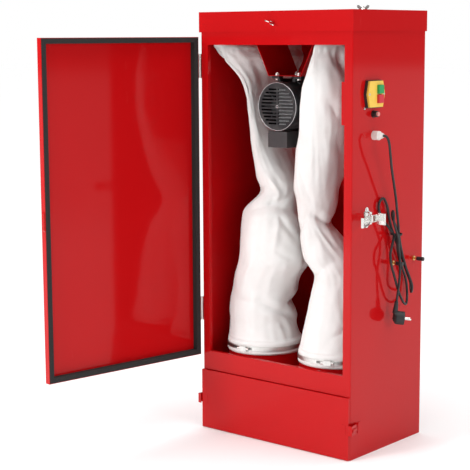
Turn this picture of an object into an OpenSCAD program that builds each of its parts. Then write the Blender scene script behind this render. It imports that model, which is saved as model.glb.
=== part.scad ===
// Two-bag dust collector cabinet: a sheet-metal cabinet with a hinged door, a pull-out dust
// drawer, two cloth filter bags clamped on collars, and a fan motor hung under the roof.
// X is right, Y is back, Z is up. The origin is the middle of the cabinet's base.

/* [Cabinet] */
// Outside width of the cabinet body
cab_w = 540; // [520:5:700]
// Outside depth of the cabinet body
cab_d = 356; // [350:2:440]
// Height to the top of the cap
cab_h = 1240; // [1200:5:1500]
// Sheet-metal thickness
sheet = 1.5; // [1.2:0.1:2.0]
// Outside radius of the folded front corners
bend_r = 4; // [3:0.5:6]
// Width of the front posts beside the door opening
post_w = 26; // [22:1:34]
// Height of the door opening's lower edge
open_z0 = 238; // [230:1:260]
// Distance from the cap's top to the door opening's upper edge
open_drop = 94; // [80:1:110]
// Depth of the stiffening flanges
flange = 12; // [9:1:14]

/* [Cap] */
// Height of the cap's skirt
cap_skirt = 58; // [45:1:64]
// How far the cap stands out past the body on each side
cap_out = 3.7; // [3:0.1:6]
// Distance from the cap's top to the inner roof
roof_drop = 62; // [60:1:75]

/* [Dust drawer] */
// Height of the drawer's front panel
drawer_h = 177.5; // [160:0.5:180]
// Depth of the drawer's front panel
drawer_t = 7; // [6:0.5:12]
// Gap under the drawer's front panel
drawer_lift = 2; // [2:0.5:6]
// Width of the dust tray
tray_w = 490; // [440:1:494]
// Height of the tray's walls
tray_h = 96; // [60:1:98]
// Gap between the tray's back and the back panel
tray_back_gap = 26; // [20:1:60]
// How far the drawer pulls out
drawer_travel = 280; // [200:5:300]

/* [Door] */
// Thickness of the door pan
door_t = 18; // [16:0.5:24]
// Height of the door's lower edge
door_z0 = 224; // [215:1:228]
// Gap between the door's upper edge and the cap's skirt
door_top_gap = 13; // [8:1:20]
// Angle between the open door and its closed place
door_open = 98.9; // [0:0.1:165]
// Width of the foam seal
seal_w = 14.5; // [10:0.5:18]

/* [Filter bags] */
// Outside radius of the bag collars
collar_r = 110; // [90:1:112]
// Distance of each collar from the middle
collar_x = 133; // [125:1:140]
// Collar position from front to back
collar_y = -50; // [-52:1:-40]
// Height of the tube sheet that carries the collars
tube_sheet_z = 200; // [196:1:206]
// Height of the collars' upper rim
collar_top = 272; // [265:1:280]
// Thickness of the filter cloth
cloth = 2.5; // [2:0.5:4]
// Clearance between the cloth and the collar
cloth_gap = 0.3; // [0.2:0.1:0.6]

/* [Fan and motor] */
// Height of the motor's shaft
motor_z = 974; // [960:1:990]
// Radius of the motor's fan cowl
cowl_r = 68; // [64:1:69]
// Radius of the motor frame
frame_r = 58; // [54:1:59]
// Radius of the motor's shaft
shaft_r = 7; // [6:0.5:8]
// Radial clearance of the shaft in its bearings
shaft_gap = 0.05; // [0.02:0.01:0.08]
// Outside radius of the fan housing
drum_r = 116; // [105:1:118]
// Depth of the fan housing
drum_d = 76; // [70:1:80]

/* [Dust inlet] */
// Outside radius of the dust inlet spigot
inlet_r = 38; // [30:0.5:38]
// How far the spigot stands out of the back
inlet_len = 45; // [30:1:70]
// Height of the spigot's middle
inlet_z = 158; // [155:1:159]

/* [Side fittings] */
// Height of the switch plate's middle
switch_z = 1013; // [1005:1:1020]
// Switch plate position from front to back
switch_y = -84; // [-86:1:-80]
// Travel of the push buttons
button_travel = 3; // [2:0.5:4]
// Height of the door latch
latch_z = 676; // [670:1:680]
// Distance from the body's front to the latch lever's pin
latch_back = 70; // [70:1:72]
// Height of the cord pegs
peg_z = 533; // [528:1:540]

/* [Cord] */
// Diameter of the mains cord
cord_d = 7; // [6:0.5:8]

/* [Hidden] */
$fn = 48;
RED = "firebrick";
STEEL = "silver";
BLACK = "dimgray";

xs = cab_w / 2;                    // outer face of the side panels
yf = -cab_d / 2;                   // front face of the body
yb = cab_d / 2;                    // back face of the body
body_top = cab_h - sheet;          // the cap's plate rests on the body here
open_z1 = cab_h - open_drop;       // upper edge of the door opening
roof_z = cab_h - roof_drop;        // underside of the inner roof
open_x = xs - post_w;              // half width of the door opening
drawer_top = drawer_lift + drawer_h;
sill_z = drawer_top + 1.2;         // the sill starts above the drawer front
cap_bottom = cab_h - cap_skirt;

hinge_x = -xs - 4;                 // door hinge pin
hinge_y = yf - 0.75;
hinge_r = 3.5;
pin_r = 1.6;
pin_gap = 0.05;
door_gap = 1.5;                    // between the closed door and the body
door_y1 = yf - door_gap;           // rim of the closed door
door_y0 = door_y1 - door_t;        // face of the closed door
door_x0 = -xs;
door_x1 = xs + 0.5;
door_z1 = cap_bottom - door_top_gap;
hinge_zs = [open_z0 + 92, open_z1 - 96];
hinge_len = 70;

frame_y0 = yf + 83;                // motor frame
frame_y1 = yf + 213;
shield_t = 13;
cowl_y0 = yf + 17;                 // front of the fan cowl
bracket_z = motor_z + 84.5;        // underside of the bracket's bottom plate
bracket_hw = 58;                   // half width of the bracket's bottom plate
bracket_y0 = yf + 50;
bracket_y1 = yf + 190;
foot_x = 39;
rib_x = foot_x - 12;
foot_ys = [yf + 68, yf + 158];
bolt_r = 3;
bolt_gap = 0.2;
drum_y0 = yb - sheet - drum_d;
drum_hole_r = 55;

lever_x = xs + 13;                 // latch lever pin
lever_y = yf + latch_back;
hook_u = 12;                       // hook pin from the lever pin, along the lever
hook_v = -9.5;                     // and across it
hook_len = 97;
hook_rest = -68.9;                 // direction of the hook with the lever straight out
peg_ys = [22, 130];
button_out = 7;                    // how far the push buttons stand out of the plate
plate_x = xs + 14;                 // outer face of the switch plate
breaker_y = -79.5;
breaker_z = 958.5;
coupler_y = -76;
coupler_z = 900;
coupler_end = xs + 32;

strap_x = xs + 5.5;                // drawer strap hinge
strap_y = yf + 30;
strap_z0 = 75;
strap_h = 28;
strap_ajar = 12;                   // the straps stand this far open
hook_bolts = [[-194, -8], [175, 5]];

// Bag stations from the hem up: height, middle x, middle y, half width, half depth, turn,
// roundness, and how far the front edge is drawn to the left
BAG_LEFT = [
    [289, -136, -50, 107, 105, 0, 2, 0], [330, -142, -51, 101, 99, 0, 2, 0],
    [370, -143, -52, 100, 98, 0, 2, 0], [423, -138, -50, 96, 95, 0, 2, 0],
    [475, -121, -50, 101, 99, 0, 2, 0], [516, -99, -50, 107, 104, 0, 2, 0],
    [570, -101, -50, 101, 99, 0, 2, 0], [625, -109, -48, 91, 89, 0, 2, 0],
    [662, -117, -45, 82, 79, 0, 2, 0], [686, -113, -35, 68, 72, 0, 2, 0],
    [720, -100, -20, 55, 62, 0, 2, 0], [763, -110, -15, 60, 77, 0, 2, 0],
    [834, -130.3, -10, 36, 88, 0, 2.3, 0], [912, -141.3, -6, 20, 96, 0, 3, 0],
    [994, -149.7, -4, 13, 103, 0, 3, 0], [1032, -148.3, -5, 14, 106, -3, 3, 6],
    [1064, -149.7, -6, 15, 112, -7, 3, 18], [1108, -152, -8, 14, 132, -13, 3, 46],
    [1141, -179.6, -9, 12, 146, -16, 3, 34], [1150, -194, -10, 8, 148, -17, 3, 10]];
BAG_RIGHT = [
    [289, 133, -50, 107, 106, 0, 2, 0], [349, 134, -50, 96, 97, 0, 2, 0],
    [390, 135, -50, 88, 90, 0, 2, 0], [433, 136, -50, 81, 84, 0, 2, 0],
    [497, 138, -50, 69, 72, 0, 2, 0], [537, 108, -50, 76, 74, 0, 2, 0],
    [586, 82, -50, 66, 68, 0, 2, 0], [640, 52, -50, 47, 48, 0, 2, 0],
    [699, 56, -50, 59, 60, 0, 2, 0], [746, 65, -64, 66, 68, 0, 2, 3],
    [800, 82, -64, 62, 79, 0, 2.4, 8], [854, 102, -62, 61, 88, 0, 3, 16],
    [921, 127, -62, 54, 97, 0, 3.2, 30], [987, 134, -62, 54, 101, 0, 3.2, 34],
    [1033, 138, -57, 50, 105, 0, 3.2, 34], [1076, 147, -40, 38, 119, -3, 3, 31],
    [1112, 158, -18, 24, 136, -7, 3, 30], [1141, 171, 2, 13, 148, -11, 3, 30],
    [1150, 174, 4, 8, 150, -11, 3, 30]];
BAG_SIDES = 32;
hem_z0 = 243;
bag_hem_r = (collar_r + cloth_gap) / cos(180 / BAG_SIDES) + cloth;

// The cord's route from the coupler to the hank, and from the hank to the plug
LEAD = [[302, -76, 900], [309, -76, 899], [317, -77, 893], [323, -77, 883], [325, -76, 870],
    [323, -70, 845], [318, -57, 810], [311, -38, 770], [304, -20, 732], [300, -8, 700],
    [298, -4, 686]];
TAIL = [[298, 10, 572], [303, 9, 548], [307, 6, 525], [308, 2, 495], [306, 0, 465],
    [303, 0, 445], [302, 0, 429]];
hank_x0 = xs + 13;
hank_x1 = xs + 31;
cord_wall = 270;                   // face of the side wall that the cord's points were laid along
cord_shift = xs - cord_wall;
plug_at = [306 + cord_shift, 3, 382];
plug_turn = 40.3;
plug_tip = 7;

// ---- shared shapes ----

// A box between two corners
module block(a, b) {
    translate(a) cube([b.x - a.x, b.y - a.y, b.z - a.z]);
}

// A cylinder along X, Y or Z from one end to the other
module rod_x(x0, x1, y, z, r) {
    translate([x0, y, z]) rotate([0, 90, 0]) cylinder(r = r, h = x1 - x0);
}

module rod_y(x, y0, y1, z, r) {
    translate([x, y0, z]) rotate([-90, 0, 0]) cylinder(r = r, h = y1 - y0);
}

module rod_z(x, y, z0, z1, r) {
    translate([x, y, z0]) cylinder(r = r, h = z1 - z0);
}

// A ring along Y or Z
module ring_y(x, y0, y1, z, outer, inner) {
    difference() {
        rod_y(x, y0, y1, z, outer);
        rod_y(x, y0 - 1, y1 + 1, z, inner);
    }
}

module ring_z(x, y, z0, z1, outer, inner) {
    difference() {
        rod_z(x, y, z0, z1, outer);
        rod_z(x, y, z0 - 1, z1 + 1, inner);
    }
}

// A shallow tray of sheet: a box that is open on the side where b passes the cut
module pan(a, b, cut_a, cut_b) {
    difference() {
        block(a, b);
        block(cut_a, cut_b);
    }
}

// ---- cabinet body ----

// One side panel, right-hand: side sheet, rounded front corner and front post in one fold
module side_panel() {
    // side sheet
    block([xs - sheet, yf + bend_r, 0], [xs, yb, body_top]);
    // rounded corner and post
    for (band = [[0, sill_z, flange], [sill_z, body_top, post_w]]) {
        intersection() {
            ring_z(xs - bend_r, yf + bend_r, band[0], band[1], bend_r, bend_r - sheet);
            block([xs - bend_r, yf, band[0]], [xs, yf + bend_r, band[1]]);
        }
        block([xs - band[2], yf, band[0]], [xs - bend_r, yf + sheet, band[1]]);
    }
    // return along the door opening
    block([open_x, yf + sheet, open_z0], [open_x + sheet, yf + flange, open_z1]);
}

module side_left() {
    color(RED) mirror([1, 0, 0]) side_panel();
}

module side_right() {
    color(RED) difference() {
        side_panel();
        // switch cut-out, breaker hole and coupler hole
        block([xs - 5, switch_y - 27, switch_z - 29], [xs + 5, switch_y + 27, switch_z + 29]);
        rod_x(xs - 5, xs + 5, breaker_y, breaker_z, 6.2);
        rod_x(xs - 5, xs + 5, coupler_y, coupler_z, 8.2);
        for (y = peg_ys) rod_x(xs - 5, xs + 5, y, peg_z, 3.1);
    }
}

// Cross sheet above the door opening, with the stud for the cap's wing nut
module header() {
    color(RED) {
        block([-open_x, yf, open_z1], [open_x, yf + sheet, body_top]);
        block([-open_x, yf + sheet, open_z1], [open_x, yf + 20, open_z1 + sheet]);
    }
    color(STEEL) {
        rod_y(0, stud_y - 13, yf, stud_z, 3);
        rod_y(0, stud_y - 1.5, stud_y, stud_z, 8);
    }
}
stud_y = yf - cap_out;
stud_z = cap_bottom + 25;

// Cross sheet between the door opening and the drawer
module sill() {
    color(RED) {
        block([-open_x, yf, sill_z], [open_x, yf + sheet, open_z0]);
        block([-open_x, yf + sheet, open_z0 - sheet], [open_x, yf + 14, open_z0]);
        block([-open_x, yf + sheet, sill_z], [open_x, yf + 8, sill_z + sheet]);
    }
}

module back_panel() {
    inner = xs - sheet;
    color(RED) difference() {
        union() {
            block([-inner, yb - sheet, 0], [inner, yb, body_top]);
            for (s = [-1, 1])
                block([min(s * inner, s * (inner - sheet)), yb - flange, flange],
                    [max(s * inner, s * (inner - sheet)), yb - sheet, tube_sheet_z - flange]);
        }
        rod_y(0, yb - 5, yb + 5, motor_z, drum_r - 12);
        rod_y(0, yb - 5, yb + 5, inlet_z, inlet_r - sheet);
    }
}

// Fixed inner roof that carries the motor bracket and the bag hangers
module roof_panel() {
    inner = xs - sheet;
    color(RED) difference() {
        union() {
            block([-xs + bend_r, yf + sheet, roof_z], [xs - bend_r, yf + bend_r, roof_z + sheet]);
            block([-inner, yf + bend_r, roof_z], [inner, yb - sheet, roof_z + sheet]);
            for (s = [-1, 1])
                block([min(s * inner, s * (inner - sheet)), yf + bend_r, roof_z + sheet],
                    [max(s * inner, s * (inner - sheet)), yb - sheet, roof_z + flange]);
        }
        for (p = hook_bolts) rod_z(p.x, p.y, roof_z - 1, roof_z + 5, bolt_r + bolt_gap);
    }
}

module cap() {
    o = cap_out;
    color(RED) difference() {
        block([-xs - o, yf - o, cap_bottom], [xs + o, yb + o, cab_h]);
        block([-xs - o + sheet, yf - o + sheet, cap_bottom - 1],
            [xs + o - sheet, yb + o - sheet, cab_h - sheet]);
        rod_y(0, yf - o - 2, yf, stud_z, 3.4);
        for (p = hook_bolts) rod_z(p.x, p.y, cab_h - 5, cab_h + 5, bolt_r + bolt_gap);
    }
}

module base_pan() {
    inner = xs - sheet;
    color(RED) pan([-inner, yf + bend_r, 0], [inner, yb - sheet, 10],
        [-inner + sheet, yf + bend_r + sheet, sheet], [inner - sheet, yb - 2 * sheet, 11]);
}

// Horizontal partition with two welded collars
module tube_sheet() {
    inner = xs - sheet;
    z = tube_sheet_z;
    color(RED) {
        difference() {
            union() {
                block([-inner, yf + flange, z], [inner, yb - sheet, z + sheet]);
                block([-inner, yf + flange, z - flange], [inner, yf + flange + sheet, z]);
                block([-inner, yb - 2 * sheet, z - flange + 8], [inner, yb - sheet, z]);
            }
            for (s = [-1, 1])
                rod_z(s * collar_x, collar_y, z - 20, z + 5, collar_r - sheet);
        }
        for (s = [-1, 1]) {
            ring_z(s * collar_x, collar_y, z + sheet, collar_top, collar_r, collar_r - sheet);
            ring_z(s * collar_x, collar_y, z + sheet, z + 2 * sheet, collar_r + 9, collar_r);
        }
    }
}

module inlet_spigot() {
    color(RED) {
        ring_y(0, yb, yb + inlet_len, inlet_z, inlet_r, inlet_r - sheet);
        ring_y(0, yb, yb + sheet, inlet_z, inlet_r + 9, inlet_r);
    }
}

module drawer_rails() {
    inner = xs - sheet;
    color(STEEL) for (s = [0, 1]) mirror([s, 0, 0]) {
        block([tray_w / 2 - 20, yf + 10, rail_z], [inner, yb - 14, rail_z + sheet]);
        block([inner - sheet, yf + 10, rail_z + sheet], [inner, yb - 14, rail_z + 26]);
    }
}
rail_z = 14;
tray_z = rail_z + sheet + 0.5;

// ---- filter bags ----

function power(v, n) = sign(v) * pow(abs(v), 2 / n);

// One ring of a bag: a rounded outline at a station, made smaller by the cloth where asked
function bag_ring(s, thin) = [for (i = [0 : BAG_SIDES - 1])
    let (t = (i + 0.5) * 360 / BAG_SIDES, front = power(sin(t), s[6]),
        x = (s[3] - thin) * power(cos(t), s[6]) - s[7] * pow(max(0, -front - 0.25) / 0.75, 1.8),
        y = (s[4] - thin) * front)
    [s[1] + x * cos(s[5]) - y * sin(s[5]), s[2] + x * sin(s[5]) + y * cos(s[5]), s[0]]];

// The two stations of the round hem, then the bag's own stations
function bag_stations(side, own) = concat(
    [for (z = [hem_z0, collar_top]) [z, side * collar_x, collar_y, bag_hem_r, bag_hem_r, 0, 2, 0]],
    own);

function lower_last(list, drop) = [for (i = [0 : len(list) - 1])
    i < len(list) - 1 ? list[i]
        : [list[i][0] - drop, list[i][1], list[i][2], list[i][3], list[i][4], list[i][5],
            list[i][6], list[i][7]]];

// Cloth shell, open at the hem and closed at the top
module bag_shell(stations) {
    n = len(stations);
    m = BAG_SIDES;
    outer = [for (s = stations) each bag_ring(s, 0)];
    inner = [for (s = lower_last(stations, cloth)) each bag_ring(s, cloth)];
    function quad_faces(base, flip) = [for (k = [0 : n - 2], i = [0 : m - 1])
        let (a = base + k * m + i, b = base + k * m + (i + 1) % m, c = b + m, d = a + m)
        each (flip ? [[a, b, c], [a, c, d]] : [[a, c, b], [a, d, c]])];
    rim = [for (i = [0 : m - 1]) let (j = (i + 1) % m, a = n * m) each
        [[i, j, a + i], [j, a + j, a + i]]];
    top = [for (i = [1 : m - 2]) [(n - 1) * m, (n - 1) * m + i + 1, (n - 1) * m + i]];
    inner_top = [for (i = [1 : m - 2])
        [(2 * n - 1) * m, (2 * n - 1) * m + i, (2 * n - 1) * m + i + 1]];
    polyhedron(points = concat(outer, inner),
        faces = concat(quad_faces(0, false), quad_faces(n * m, true), rim, top, inner_top));
}

module bag_left() {
    color("white") bag_shell(bag_stations(-1, BAG_LEFT));
}

module bag_right() {
    color("white") bag_shell(bag_stations(1, BAG_RIGHT));
}

// Worm-drive band clamps over the hems; each has a screw housing
module hose_clamps() {
    r = bag_hem_r + 0.3;
    color(STEEL) for (c = [[-1, -85], [1, -68]]) translate([c[0] * collar_x, collar_y, 0]) {
        ring_z(0, 0, 255, 267, r + 1, r);
        rotate([0, 0, c[1]]) {
            block([r + 0.5, -11, 254], [r + 9, 11, 268]);
            rod_y(r + 5, -19, 19, 261, 4);
        }
    }
}

// Hook bolt through the roof, and the rod in the bag's top hem that hangs from it
module hanger(p, turn, top) {
    rod_z(p.x, p.y, 1152, top, bolt_r);
    rod_z(p.x, p.y, roof_z - 4, roof_z, 8);
    translate([p.x, p.y, 1155]) rotate([0, 0, turn]) block([-3, -150, 0], [3, 150, 5]);
}

module hanger_left() {
    color(STEEL) {
        hanger(hook_bolts[0], -17, cab_h + 1.5);
        rod_z(hook_bolts[0].x, hook_bolts[0].y, cab_h, cab_h + 3, 5.5);
    }
}

module hanger_right() {
    color(STEEL) hanger(hook_bolts[1], -11, cab_h + 12);
}

// ---- motor and fan ----

// Sheet trough under the roof, seen from the front as a tray with flared sides
module motor_bracket() {
    z0 = bracket_z;
    h = roof_z - z0;
    w0 = bracket_hw;
    w1 = bracket_hw * 2;
    outer = [[-w1 - 14, h], [-w1 - 14, h - sheet], [-w1, h - sheet], [-w0, 0], [w0, 0],
        [w1, h - sheet], [w1 + 14, h - sheet], [w1 + 14, h]];
    inner = [[w1 - sheet, h], [w0 - sheet, sheet], [-w0 + sheet, sheet], [-w1 + sheet, h]];
    color(RED) difference() {
        translate([0, bracket_y1, z0]) rotate([90, 0, 0])
            linear_extrude(bracket_y1 - bracket_y0) polygon(concat(outer, inner));
        for (x = [-foot_x, foot_x], y = foot_ys)
            rod_z(x, y, z0 - 1, z0 + 5, bolt_r + bolt_gap);
    }
}

// Four bolts through the motor's feet, nuts uppermost
module motor_bolts() {
    foot_z0 = bracket_z - 8;
    color(STEEL) for (x = [-foot_x, foot_x], y = foot_ys) translate([x, y, 0]) {
        translate([0, 0, foot_z0 - 4]) cylinder(r = 5.8, h = 4, $fn = 6);
        rod_z(0, 0, foot_z0, bracket_z + sheet + 8, bolt_r);
        ring_z(0, 0, bracket_z + sheet, bracket_z + sheet + 1.2, 7.5, bolt_r);
        difference() {
            translate([0, 0, bracket_z + sheet + 1.2]) cylinder(r = 5.8, h = 5, $fn = 6);
            rod_z(0, 0, bracket_z, bracket_z + 20, bolt_r);
        }
    }
}

// Finned frame with its feet upwards
module motor_frame() {
    fins = 28;
    color(BLACK) difference() {
        union() {
            rod_y(0, frame_y0, frame_y1, motor_z, frame_r - 4);
            translate([0, frame_y0 + 2, motor_z]) for (i = [0 : fins - 1])
                rotate([0, i * 360 / fins, 0])
                    block([frame_r - 6, 0, -1.2], [frame_r, frame_y1 - frame_y0 - 4, 1.2]);
            for (x = [-foot_x, foot_x], y = foot_ys) {
                block([x - 13, y - 9, bracket_z - 8], [x + 13, y + 9, bracket_z]);
            }
            for (x = [-1, 1]) {
                block([x * rib_x - 5, frame_y0, motor_z + 34],
                    [x * rib_x + 5, foot_ys[1] + 9, bracket_z - 8]);
                block([x * rib_x - 5, foot_ys[0] - 9, motor_z + cowl_r],
                    [x * rib_x + 5, frame_y0 + 5, bracket_z - 8]);
            }
        }
        rod_y(0, frame_y0 - 20, frame_y1 + 1, motor_z, frame_r - 8);
        for (x = [-foot_x, foot_x], y = foot_ys)
            rod_z(x, y, bracket_z - 10, bracket_z + 1, bolt_r + bolt_gap);
    }
}

// Cast end shields with the bearings' outer rings
module end_shields() {
    seat = shaft_r + shaft_gap;
    color(BLACK) for (e = [[frame_y0 - shield_t, frame_y0], [frame_y1, frame_y1 + shield_t]]) {
        ring_y(0, e[0], e[1], motor_z, frame_r - 9, seat);
        ring_y(0, e[0] + 3, e[1] - 3, motor_z, frame_r - 4, frame_r - 9);
        // the front shield's rim carries the fan cowl
        if (e[0] < frame_y0)
            ring_y(0, frame_y0 - 6, frame_y0 - 1, motor_z, cowl_r - 1.8, frame_r - 9);
    }
}

module stator() {
    color("peru") ring_y(0, frame_y0 + 34, frame_y1 - 28, motor_z, frame_r - 8, 34);
}

// Fan cowl with a slatted front: bars across in two halves
module motor_cowl() {
    y0 = cowl_y0;
    y1 = frame_y0 - 1;
    color(BLACK) difference() {
        rod_y(0, y0, y1, motor_z, cowl_r);
        rod_y(0, y0 + 2.5, y1 + 1, motor_z, cowl_r - 1.8);
        for (k = [-5 : 5], s = [-1, 1]) {
            half = sqrt(pow(cowl_r - 11, 2) - pow(k * 9.6, 2));
            translate([0, y0 - 1, motor_z + k * 9.6 - 2.4])
                cube_between(s, 3, half, 5, 4.8);
        }
    }
}

// A slot from near the middle out to one side
module cube_between(s, near, far, depth, height) {
    translate([s > 0 ? near : -far, 0, 0]) cube([far - near, depth, height]);
}

module terminal_box() {
    z1 = motor_z - cowl_r - 3;
    color(BLACK) {
        block([-44, frame_y0 - 52, z1 - 46], [24, frame_y0 + 36, z1]);
        difference() {
            block([-22, frame_y0 + 6, z1], [22, frame_y0 + 34, motor_z - frame_r + 14]);
            rod_y(0, frame_y0 - 1, frame_y1, motor_z, frame_r + 0.2);
        }
    }
}

// Drum around the impeller, with a round inlet in front; its open back meets the back panel
module fan_housing() {
    color(RED) {
        difference() {
            rod_y(0, drum_y0, yb - sheet, motor_z, drum_r);
            rod_y(0, drum_y0 + sheet, yb, motor_z, drum_r - sheet);
            rod_y(0, drum_y0 - 1, yb, motor_z, drum_hole_r);
        }
        ring_y(0, drum_y0 - 8, drum_y0, motor_z, drum_hole_r + sheet, drum_hole_r);
        ring_y(0, yb - 2 * sheet, yb - sheet, motor_z, drum_r + 10, drum_r);
    }
}

module exhaust_grille() {
    half = drum_r + 2;
    color(RED) difference() {
        block([-half, yb, motor_z - half], [half, yb + sheet, motor_z + half]);
        for (k = [-6 : 6])
            block([-half + 24, yb - 1, motor_z + k * 15 - 3],
                [half - 24, yb + 5, motor_z + k * 15 + 3]);
    }
}

module rotor_shaft() {
    color(STEEL) {
        rod_y(0, cowl_y0 + 6, drum_y0 + 58, motor_z, shaft_r);
        rod_y(0, frame_y0 + 34, frame_y1 - 28, motor_z, 33.4);
    }
}

module cooling_fan() {
    y0 = cowl_y0 + 10;
    color(BLACK) difference() {
        union() {
            rod_y(0, y0, y0 + 28, motor_z, 15);
            rod_y(0, y0 + 25, y0 + 28, motor_z, 50);
            translate([0, y0, motor_z]) for (i = [0 : 7]) rotate([0, i * 45, 0])
                block([12, 2, -1.2], [56, 25, 1.2]);
        }
        rod_y(0, y0 - 1, y0 + 40, motor_z, shaft_r);
    }
}

module impeller() {
    y0 = drum_y0 + 10;
    color(STEEL) difference() {
        union() {
            rod_y(0, y0 + 20, y0 + 46, motor_z, 16);
            rod_y(0, y0 + 44, y0 + 46, motor_z, 96);
            translate([0, y0, motor_z]) for (i = [0 : 9]) rotate([0, i * 36, 0])
                translate([34, 0, 0]) rotate([0, 24, 0]) block([0, 0, -0.8], [60, 45, 0.8]);
        }
        rod_y(0, y0 - 1, y0 + 60, motor_z, shaft_r);
    }
}

// ---- side fittings ----

// Hexagonal outline of the switch: long middle, pointed front and back
module switch_outline(half_w, half_h) {
    translate([0, switch_y, switch_z]) rotate([90, 0, 90])
        linear_extrude(8) polygon([[-half_w, 0], [-half_w + 9, half_h], [half_w - 9, half_h],
            [half_w, 0], [half_w - 9, -half_h], [-half_w + 9, -half_h]]);
}

// Where the start and stop buttons sit on the plate: low corner and size in Y and Z
button_w = 23;
button_h = 23;
button_gap = 0.5;
button_y0 = switch_y + 3;
start_z0 = switch_z + 1.5;
stop_z0 = switch_z - 1.5 - button_h;

module button_cut(z0) {
    block([xs + 1, button_y0 - button_gap, z0 - button_gap],
        [xs + 30, button_y0 + button_w + button_gap, z0 + button_h + button_gap]);
}

module switch_base() {
    color("black") difference() {
        union() {
            translate([xs, 0, 0]) switch_outline(42, 37.5);
            block([xs - 28, switch_y - 26, switch_z - 28],
                [xs, switch_y + 26, switch_z + 28]);
        }
        for (z0 = [start_z0, stop_z0]) button_cut(z0);
    }
}

module switch_plate() {
    color("gold") difference() {
        intersection() {
            translate([xs + 8, 0, 0]) switch_outline(40, 35.5);
            block([xs + 8, -200, 0], [plate_x, 200, cab_h]);
        }
        for (z0 = [start_z0, stop_z0]) button_cut(z0);
        for (s = [-1, 1]) rod_x(xs, plate_x + 1, switch_y + s * 34, switch_z, 2.1);
    }
}

// Two plate screws and the earth screw in front of the switch
module switch_screws() {
    color(STEEL) {
        for (s = [-1, 1]) {
            rod_x(xs + 8, plate_x, switch_y + s * 34, switch_z, 2);
            rod_x(plate_x, plate_x + 1.4, switch_y + s * 34, switch_z, 3.4);
        }
        rod_x(xs, xs + 2.2, switch_y - 38, switch_z - 38, 3.6);
    }
}

module push_button(z0) {
    block([xs + 1 + button_travel + 0.6, button_y0, z0],
        [plate_x + button_out, button_y0 + button_w, z0 + button_h]);
}

module button_start() {
    color("seagreen") push_button(start_z0);
}

module button_stop() {
    color("crimson") push_button(stop_z0);
}

// Folded box over the switch's terminals, on the inside of the side panel
module switch_box() {
    x1 = xs - sheet;
    a = [x1 - 44, yf + 14, breaker_z - 28];
    b = [x1, switch_y + 44, switch_z + 34];
    color(RED) difference() {
        block(a, b);
        block([a.x + sheet, a.y + sheet, a.z + sheet], [b.x + 1, b.y - sheet, b.z - sheet]);
    }
}

module breaker_body() {
    color("black") difference() {
        union() {
            rod_x(xs, xs + 3, breaker_y, breaker_z, 10);
            rod_x(xs + 3, xs + 14, breaker_y, breaker_z, 8.5);
            rod_x(xs - 24, xs, breaker_y, breaker_z, 6);
        }
        rod_x(xs + 4, xs + 20, breaker_y, breaker_z, 6.1);
    }
}

module button_reset() {
    color("indianred") rod_x(xs + 4.6 + button_travel, xs + 19, breaker_y, breaker_z, 5.8);
}

// White cable gland: body, cone and bore end
module coupler() {
    x1 = coupler_end;
    color("white") {
        rod_x(xs - 12, xs, coupler_y, coupler_z, 8);
        rod_x(xs, xs + 19, coupler_y, coupler_z, 12.5);
        translate([xs + 19, coupler_y, coupler_z]) rotate([0, 90, 0])
            cylinder(r1 = 11, r2 = 6, h = x1 - xs - 19, $fn = 32);
    }
}

module peg_rods() {
    color("goldenrod") for (y = peg_ys) {
        rod_x(xs - 8, xs + 26, y, peg_z, 3);
        rod_x(xs, xs + 5, y, peg_z, 6.5);
        rod_x(xs - sheet - 4, xs - sheet, y, peg_z, 6.5);
    }
}

module peg_caps() {
    color("black") for (y = peg_ys) {
        difference() {
            rod_x(xs + 15, xs + 36, y, peg_z, 5.8);
            rod_x(xs + 14, xs + 26, y, peg_z, 3);
        }
    }
}

// Latch base: plate with screw ears, two lugs and the lever's pin
module latch_base() {
    color(STEEL) {
        block([xs, lever_y - 14, latch_z - 17], [xs + 2, lever_y + 14, latch_z + 17]);
        for (s = [-1, 1]) {
            difference() {
                rod_x(xs, xs + 2, lever_y, latch_z + s * 20, 8.5);
                rod_x(xs - 1, xs + 3, lever_y, latch_z + s * 22, 2.4);
            }
            rod_x(xs + 2, xs + 3.4, lever_y, latch_z + s * 22, 3.6);
            rod_x(xs, xs + 2, lever_y, latch_z + s * 22, 2.2);
            translate([0, 0, latch_z + s * 15]) {
                block([xs + 2, lever_y - 5, -1.2], [lever_x, lever_y + 5, 1.2]);
                rod_z(lever_x, lever_y, -1.2, 1.2, 5);
            }
        }
        rod_z(lever_x, lever_y, latch_z - 17.5, latch_z + 17.5, 2.5);
    }
}

// Latch lever: barrel, plate that widens to the grip, and cheeks for the hook's pin
module latch_lever() {
    z = latch_z;
    color(STEEL) translate([lever_x, lever_y, 0]) {
        difference() {
            union() {
                rod_z(0, 0, z - 13.4, z + 13.4, 5);
                translate([0, 1.2, z]) rotate([90, 0, 0]) linear_extrude(2.4)
                    polygon([[0, -10], [18, -10], [30, -15.5], [49, -15.5], [49, 15.5],
                        [30, 15.5], [18, 10], [0, 10]]);
                rod_z(49, -1.3, z - 15.5, z + 15.5, 2.5);
                for (s = [-1, 1]) translate([0, 0, z + s * 9]) {
                    block([hook_u - 4, hook_v, -1], [hook_u + 4, 0, 1]);
                    rod_z(hook_u, hook_v, -1, 1, 4);
                }
                rod_z(hook_u, hook_v, z - 10, z + 10, 2);
            }
            rod_z(0, 0, z - 14, z + 14, 2.5 + pin_gap);
        }
    }
}

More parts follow.
